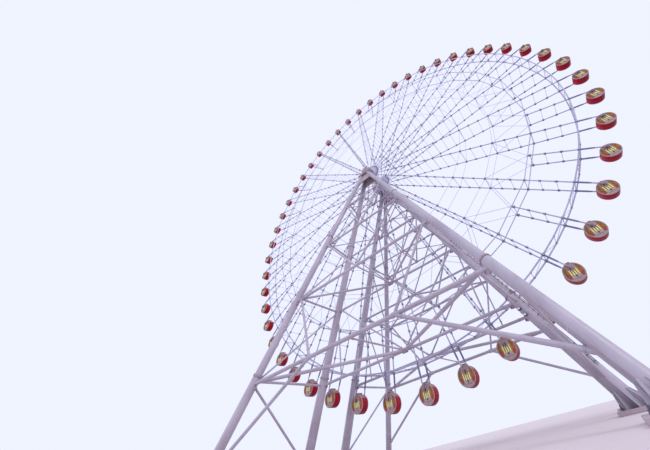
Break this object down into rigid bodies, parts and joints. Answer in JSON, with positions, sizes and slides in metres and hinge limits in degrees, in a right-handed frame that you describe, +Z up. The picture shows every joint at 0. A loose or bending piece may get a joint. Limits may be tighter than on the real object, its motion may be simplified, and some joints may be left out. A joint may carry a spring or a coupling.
{
  "type": "ferris wheel scale model, 1:10",
  "caption": "Spoked ferris wheel between two tube frames of four legs each, with round drum cabins that stay level as the wheel turns on its axle; 1:10 scale model.",
  "frame": {"origin": "ground level under the middle of the wheel", "axes": "+X right along the wheel as seen from the near side, +Y along the axle away from the near side, +Z up"},
  "size_m": [8.508, 3.42, 8.931],
  "materials": {
    "white_paint": "satin",
    "wheel_paint": "satin",
    "bearing_steel": "matte",
    "cabin_shell": "gloss"
  },
  "bodies": {
    "support": {"near_left_leg": "white_paint", "near_right_leg": "white_paint", "near_inner_frame": "white_paint", "near_bracing": "white_paint", "far_left_leg": "white_paint", "far_right_leg": "white_paint", "far_inner_frame": "white_paint", "far_bracing": "white_paint", "axle_and_bearings": "bearing_steel"},
    "wheel": {"hub": "bearing_steel", "near_wheel_side": "wheel_paint", "far_wheel_side": "wheel_paint"},
    "cabin_01": {"cabin_01": "cabin_shell"},
    "cabin_02": {"cabin_02": "cabin_shell"},
    "cabin_03": {"cabin_03": "cabin_shell"},
    "cabin_04": {"cabin_04": "cabin_shell"},
    "cabin_05": {"cabin_05": "cabin_shell"},
    "cabin_06": {"cabin_06": "cabin_shell"},
    "cabin_07": {"cabin_07": "cabin_shell"},
    "cabin_08": {"cabin_08": "cabin_shell"},
    "cabin_09": {"cabin_09": "cabin_shell"},
    "cabin_10": {"cabin_10": "cabin_shell"},
    "cabin_11": {"cabin_11": "cabin_shell"},
    "cabin_12": {"cabin_12": "cabin_shell"},
    "cabin_13": {"cabin_13": "cabin_shell"},
    "cabin_14": {"cabin_14": "cabin_shell"},
    "cabin_15": {"cabin_15": "cabin_shell"},
    "cabin_16": {"cabin_16": "cabin_shell"},
    "cabin_17": {"cabin_17": "cabin_shell"},
    "cabin_18": {"cabin_18": "cabin_shell"},
    "cabin_19": {"cabin_19": "cabin_shell"},
    "cabin_20": {"cabin_20": "cabin_shell"},
    "cabin_21": {"cabin_21": "cabin_shell"},
    "cabin_22": {"cabin_22": "cabin_shell"},
    "cabin_23": {"cabin_23": "cabin_shell"},
    "cabin_24": {"cabin_24": "cabin_shell"},
    "cabin_25": {"cabin_25": "cabin_shell"},
    "cabin_26": {"cabin_26": "cabin_shell"},
    "cabin_27": {"cabin_27": "cabin_shell"},
    "cabin_28": {"cabin_28": "cabin_shell"},
    "cabin_29": {"cabin_29": "cabin_shell"},
    "cabin_30": {"cabin_30": "cabin_shell"},
    "cabin_31": {"cabin_31": "cabin_shell"},
    "cabin_32": {"cabin_32": "cabin_shell"},
    "cabin_33": {"cabin_33": "cabin_shell"},
    "cabin_34": {"cabin_34": "cabin_shell"},
    "cabin_35": {"cabin_35": "cabin_shell"},
    "cabin_36": {"cabin_36": "cabin_shell"},
    "cabin_37": {"cabin_37": "cabin_shell"},
    "cabin_38": {"cabin_38": "cabin_shell"},
    "cabin_39": {"cabin_39": "cabin_shell"},
    "cabin_40": {"cabin_40": "cabin_shell"},
    "cabin_41": {"cabin_41": "cabin_shell"},
    "cabin_42": {"cabin_42": "cabin_shell"},
    "cabin_43": {"cabin_43": "cabin_shell"},
    "cabin_44": {"cabin_44": "cabin_shell"},
    "cabin_45": {"cabin_45": "cabin_shell"},
    "cabin_46": {"cabin_46": "cabin_shell"},
    "cabin_47": {"cabin_47": "cabin_shell"},
    "cabin_48": {"cabin_48": "cabin_shell"}
  },
  "joints": [
    {"name": "wheel_spin", "type": "hinge", "parent": "support", "child": "wheel", "pos_m": [0, 0, 4.7], "axis": [0, 1, 0], "continuous": true},
    {"name": "cabin_01_pivot", "type": "hinge", "parent": "wheel", "child": "cabin_01", "pos_m": [0, 0, 8.85], "axis": [0, 1, 0], "continuous": true},
    {"name": "cabin_02_pivot", "type": "hinge", "parent": "wheel", "child": "cabin_02", "pos_m": [0.54168, 0, 8.8145], "axis": [0, 1, 0], "continuous": true},
    {"name": "cabin_03_pivot", "type": "hinge", "parent": "wheel", "child": "cabin_03", "pos_m": [1.0741, 0, 8.70859], "axis": [0, 1, 0], "continuous": true},
    {"name": "cabin_04_pivot", "type": "hinge", "parent": "wheel", "child": "cabin_04", "pos_m": [1.58814, 0, 8.5341], "axis": [0, 1, 0], "continuous": true},
    {"name": "cabin_05_pivot", "type": "hinge", "parent": "wheel", "child": "cabin_05", "pos_m": [2.075, 0, 8.29401], "axis": [0, 1, 0], "continuous": true},
    {"name": "cabin_06_pivot", "type": "hinge", "parent": "wheel", "child": "cabin_06", "pos_m": [2.52636, 0, 7.99242], "axis": [0, 1, 0], "continuous": true},
    {"name": "cabin_07_pivot", "type": "hinge", "parent": "wheel", "child": "cabin_07", "pos_m": [2.93449, 0, 7.63449], "axis": [0, 1, 0], "continuous": true},
    {"name": "cabin_08_pivot", "type": "hinge", "parent": "wheel", "child": "cabin_08", "pos_m": [3.29242, 0, 7.22636], "axis": [0, 1, 0], "continuous": true},
    {"name": "cabin_09_pivot", "type": "hinge", "parent": "wheel", "child": "cabin_09", "pos_m": [3.59401, 0, 6.775], "axis": [0, 1, 0], "continuous": true},
    {"name": "cabin_10_pivot", "type": "hinge", "parent": "wheel", "child": "cabin_10", "pos_m": [3.8341, 0, 6.28814], "axis": [0, 1, 0], "continuous": true},
    {"name": "cabin_11_pivot", "type": "hinge", "parent": "wheel", "child": "cabin_11", "pos_m": [4.00859, 0, 5.7741], "axis": [0, 1, 0], "continuous": true},
    {"name": "cabin_12_pivot", "type": "hinge", "parent": "wheel", "child": "cabin_12", "pos_m": [4.1145, 0, 5.24168], "axis": [0, 1, 0], "continuous": true},
    {"name": "cabin_13_pivot", "type": "hinge", "parent": "wheel", "child": "cabin_13", "pos_m": [4.15, 0, 4.7], "axis": [0, 1, 0], "continuous": true},
    {"name": "cabin_14_pivot", "type": "hinge", "parent": "wheel", "child": "cabin_14", "pos_m": [4.1145, 0, 4.15832], "axis": [0, 1, 0], "continuous": true},
    {"name": "cabin_15_pivot", "type": "hinge", "parent": "wheel", "child": "cabin_15", "pos_m": [4.00859, 0, 3.6259], "axis": [0, 1, 0], "continuous": true},
    {"name": "cabin_16_pivot", "type": "hinge", "parent": "wheel", "child": "cabin_16", "pos_m": [3.8341, 0, 3.11186], "axis": [0, 1, 0], "continuous": true},
    {"name": "cabin_17_pivot", "type": "hinge", "parent": "wheel", "child": "cabin_17", "pos_m": [3.59401, 0, 2.625], "axis": [0, 1, 0], "continuous": true},
    {"name": "cabin_18_pivot", "type": "hinge", "parent": "wheel", "child": "cabin_18", "pos_m": [3.29242, 0, 2.17364], "axis": [0, 1, 0], "continuous": true},
    {"name": "cabin_19_pivot", "type": "hinge", "parent": "wheel", "child": "cabin_19", "pos_m": [2.93449, 0, 1.76551], "axis": [0, 1, 0], "continuous": true},
    {"name": "cabin_20_pivot", "type": "hinge", "parent": "wheel", "child": "cabin_20", "pos_m": [2.52636, 0, 1.40758], "axis": [0, 1, 0], "continuous": true},
    {"name": "cabin_21_pivot", "type": "hinge", "parent": "wheel", "child": "cabin_21", "pos_m": [2.075, 0, 1.106], "axis": [0, 1, 0], "continuous": true},
    {"name": "cabin_22_pivot", "type": "hinge", "parent": "wheel", "child": "cabin_22", "pos_m": [1.58814, 0, 0.8659], "axis": [0, 1, 0], "continuous": true},
    {"name": "cabin_23_pivot", "type": "hinge", "parent": "wheel", "child": "cabin_23", "pos_m": [1.0741, 0, 0.69141], "axis": [0, 1, 0], "continuous": true},
    {"name": "cabin_24_pivot", "type": "hinge", "parent": "wheel", "child": "cabin_24", "pos_m": [0.54168, 0, 0.5855], "axis": [0, 1, 0], "continuous": true},
    {"name": "cabin_25_pivot", "type": "hinge", "parent": "wheel", "child": "cabin_25", "pos_m": [0, 0, 0.55], "axis": [0, 1, 0], "continuous": true},
    {"name": "cabin_26_pivot", "type": "hinge", "parent": "wheel", "child": "cabin_26", "pos_m": [-0.54168, 0, 0.5855], "axis": [0, 1, 0], "continuous": true},
    {"name": "cabin_27_pivot", "type": "hinge", "parent": "wheel", "child": "cabin_27", "pos_m": [-1.0741, 0, 0.69141], "axis": [0, 1, 0], "continuous": true},
    {"name": "cabin_28_pivot", "type": "hinge", "parent": "wheel", "child": "cabin_28", "pos_m": [-1.58814, 0, 0.8659], "axis": [0, 1, 0], "continuous": true},
    {"name": "cabin_29_pivot", "type": "hinge", "parent": "wheel", "child": "cabin_29", "pos_m": [-2.075, 0, 1.106], "axis": [0, 1, 0], "continuous": true},
    {"name": "cabin_30_pivot", "type": "hinge", "parent": "wheel", "child": "cabin_30", "pos_m": [-2.52636, 0, 1.40758], "axis": [0, 1, 0], "continuous": true},
    {"name": "cabin_31_pivot", "type": "hinge", "parent": "wheel", "child": "cabin_31", "pos_m": [-2.93449, 0, 1.76551], "axis": [0, 1, 0], "continuous": true},
    {"name": "cabin_32_pivot", "type": "hinge", "parent": "wheel", "child": "cabin_32", "pos_m": [-3.29242, 0, 2.17364], "axis": [0, 1, 0], "continuous": true},
    {"name": "cabin_33_pivot", "type": "hinge", "parent": "wheel", "child": "cabin_33", "pos_m": [-3.59401, 0, 2.625], "axis": [0, 1, 0], "continuous": true},
    {"name": "cabin_34_pivot", "type": "hinge", "parent": "wheel", "child": "cabin_34", "pos_m": [-3.8341, 0, 3.11186], "axis": [0, 1, 0], "continuous": true},
    {"name": "cabin_35_pivot", "type": "hinge", "parent": "wheel", "child": "cabin_35", "pos_m": [-4.00859, 0, 3.6259], "axis": [0, 1, 0], "continuous": true},
    {"name": "cabin_36_pivot", "type": "hinge", "parent": "wheel", "child": "cabin_36", "pos_m": [-4.1145, 0, 4.15832], "axis": [0, 1, 0], "continuous": true},
    {"name": "cabin_37_pivot", "type": "hinge", "parent": "wheel", "child": "cabin_37", "pos_m": [-4.15, 0, 4.7], "axis": [0, 1, 0], "continuous": true},
    {"name": "cabin_38_pivot", "type": "hinge", "parent": "wheel", "child": "cabin_38", "pos_m": [-4.1145, 0, 5.24168], "axis": [0, 1, 0], "continuous": true},
    {"name": "cabin_39_pivot", "type": "hinge", "parent": "wheel", "child": "cabin_39", "pos_m": [-4.00859, 0, 5.7741], "axis": [0, 1, 0], "continuous": true},
    {"name": "cabin_40_pivot", "type": "hinge", "parent": "wheel", "child": "cabin_40", "pos_m": [-3.8341, 0, 6.28814], "axis": [0, 1, 0], "continuous": true},
    {"name": "cabin_41_pivot", "type": "hinge", "parent": "wheel", "child": "cabin_41", "pos_m": [-3.59401, 0, 6.775], "axis": [0, 1, 0], "continuous": true},
    {"name": "cabin_42_pivot", "type": "hinge", "parent": "wheel", "child": "cabin_42", "pos_m": [-3.29242, 0, 7.22636], "axis": [0, 1, 0], "continuous": true},
    {"name": "cabin_43_pivot", "type": "hinge", "parent": "wheel", "child": "cabin_43", "pos_m": [-2.93449, 0, 7.63449], "axis": [0, 1, 0], "continuous": true},
    {"name": "cabin_44_pivot", "type": "hinge", "parent": "wheel", "child": "cabin_44", "pos_m": [-2.52636, 0, 7.99242], "axis": [0, 1, 0], "continuous": true},
    {"name": "cabin_45_pivot", "type": "hinge", "parent": "wheel", "child": "cabin_45", "pos_m": [-2.075, 0, 8.29401], "axis": [0, 1, 0], "continuous": true},
    {"name": "cabin_46_pivot", "type": "hinge", "parent": "wheel", "child": "cabin_46", "pos_m": [-1.58814, 0, 8.5341], "axis": [0, 1, 0], "continuous": true},
    {"name": "cabin_47_pivot", "type": "hinge", "parent": "wheel", "child": "cabin_47", "pos_m": [-1.0741, 0, 8.70859], "axis": [0, 1, 0], "continuous": true},
    {"name": "cabin_48_pivot", "type": "hinge", "parent": "wheel", "child": "cabin_48", "pos_m": [-0.54168, 0, 8.8145], "axis": [0, 1, 0], "continuous": true}
  ],
  "couplings": [
    {"joint": "cabin_01_pivot", "follows": "wheel_spin", "ratio": -1},
    {"joint": "cabin_02_pivot", "follows": "wheel_spin", "ratio": -1},
    {"joint": "cabin_03_pivot", "follows": "wheel_spin", "ratio": -1},
    {"joint": "cabin_04_pivot", "follows": "wheel_spin", "ratio": -1},
    {"joint": "cabin_05_pivot", "follows": "wheel_spin", "ratio": -1},
    {"joint": "cabin_06_pivot", "follows": "wheel_spin", "ratio": -1},
    {"joint": "cabin_07_pivot", "follows": "wheel_spin", "ratio": -1},
    {"joint": "cabin_08_pivot", "follows": "wheel_spin", "ratio": -1},
    {"joint": "cabin_09_pivot", "follows": "wheel_spin", "ratio": -1},
    {"joint": "cabin_10_pivot", "follows": "wheel_spin", "ratio": -1},
    {"joint": "cabin_11_pivot", "follows": "wheel_spin", "ratio": -1},
    {"joint": "cabin_12_pivot", "follows": "wheel_spin", "ratio": -1},
    {"joint": "cabin_13_pivot", "follows": "wheel_spin", "ratio": -1},
    {"joint": "cabin_14_pivot", "follows": "wheel_spin", "ratio": -1},
    {"joint": "cabin_15_pivot", "follows": "wheel_spin", "ratio": -1},
    {"joint": "cabin_16_pivot", "follows": "wheel_spin", "ratio": -1},
    {"joint": "cabin_17_pivot", "follows": "wheel_spin", "ratio": -1},
    {"joint": "cabin_18_pivot", "follows": "wheel_spin", "ratio": -1},
    {"joint": "cabin_19_pivot", "follows": "wheel_spin", "ratio": -1},
    {"joint": "cabin_20_pivot", "follows": "wheel_spin", "ratio": -1},
    {"joint": "cabin_21_pivot", "follows": "wheel_spin", "ratio": -1},
    {"joint": "cabin_22_pivot", "follows": "wheel_spin", "ratio": -1},
    {"joint": "cabin_23_pivot", "follows": "wheel_spin", "ratio": -1},
    {"joint": "cabin_24_pivot", "follows": "wheel_spin", "ratio": -1},
    {"joint": "cabin_25_pivot", "follows": "wheel_spin", "ratio": -1},
    {"joint": "cabin_26_pivot", "follows": "wheel_spin", "ratio": -1},
    {"joint": "cabin_27_pivot", "follows": "wheel_spin", "ratio": -1},
    {"joint": "cabin_28_pivot", "follows": "wheel_spin", "ratio": -1},
    {"joint": "cabin_29_pivot", "follows": "wheel_spin", "ratio": -1},
    {"joint": "cabin_30_pivot", "follows": "wheel_spin", "ratio": -1},
    {"joint": "cabin_31_pivot", "follows": "wheel_spin", "ratio": -1},
    {"joint": "cabin_32_pivot", "follows": "wheel_spin", "ratio": -1},
    {"joint": "cabin_33_pivot", "follows": "wheel_spin", "ratio": -1},
    {"joint": "cabin_34_pivot", "follows": "wheel_spin", "ratio": -1},
    {"joint": "cabin_35_pivot", "follows": "wheel_spin", "ratio": -1},
    {"joint": "cabin_36_pivot", "follows": "wheel_spin", "ratio": -1},
    {"joint": "cabin_37_pivot", "follows": "wheel_spin", "ratio": -1},
    {"joint": "cabin_38_pivot", "follows": "wheel_spin", "ratio": -1},
    {"joint": "cabin_39_pivot", "follows": "wheel_spin", "ratio": -1},
    {"joint": "cabin_40_pivot", "follows": "wheel_spin", "ratio": -1},
    {"joint": "cabin_41_pivot", "follows": "wheel_spin", "ratio": -1},
    {"joint": "cabin_42_pivot", "follows": "wheel_spin", "ratio": -1},
    {"joint": "cabin_43_pivot", "follows": "wheel_spin", "ratio": -1},
    {"joint": "cabin_44_pivot", "follows": "wheel_spin", "ratio": -1},
    {"joint": "cabin_45_pivot", "follows": "wheel_spin", "ratio": -1},
    {"joint": "cabin_46_pivot", "follows": "wheel_spin", "ratio": -1},
    {"joint": "cabin_47_pivot", "follows": "wheel_spin", "ratio": -1},
    {"joint": "cabin_48_pivot", "follows": "wheel_spin", "ratio": -1}
  ]
}
